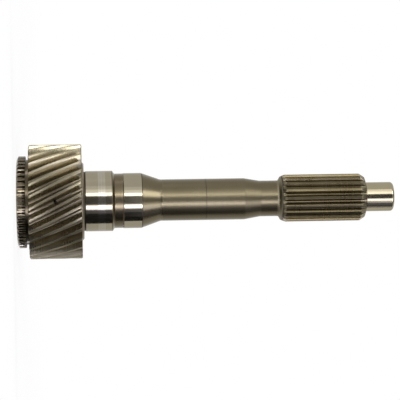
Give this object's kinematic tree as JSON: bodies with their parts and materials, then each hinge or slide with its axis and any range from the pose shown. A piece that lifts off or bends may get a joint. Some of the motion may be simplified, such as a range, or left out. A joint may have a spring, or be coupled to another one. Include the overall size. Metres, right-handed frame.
{
  "type": "transmission input shaft",
  "caption": "Steel gearbox input shaft with a helical gear, clutch-tooth ring, ground journals, clutch spline and pilot nose.",
  "frame": {"origin": "centre of the end face of the clutch-tooth ring, which the shaft stands on", "axes": "+Z along the shaft's axis from the gear end to the pilot nose; -Y is the side that the small oil hole between two gear teeth opens on"},
  "size_m": [0.066, 0.066, 0.2188],
  "materials": {
    "shaft_steel": "bare machined and ground case-hardened steel, warm grey, mirror-ground on the journals"
  },
  "bodies": {
    "root": {"input_shaft": "shaft_steel"}
  },
  "joints": []
}
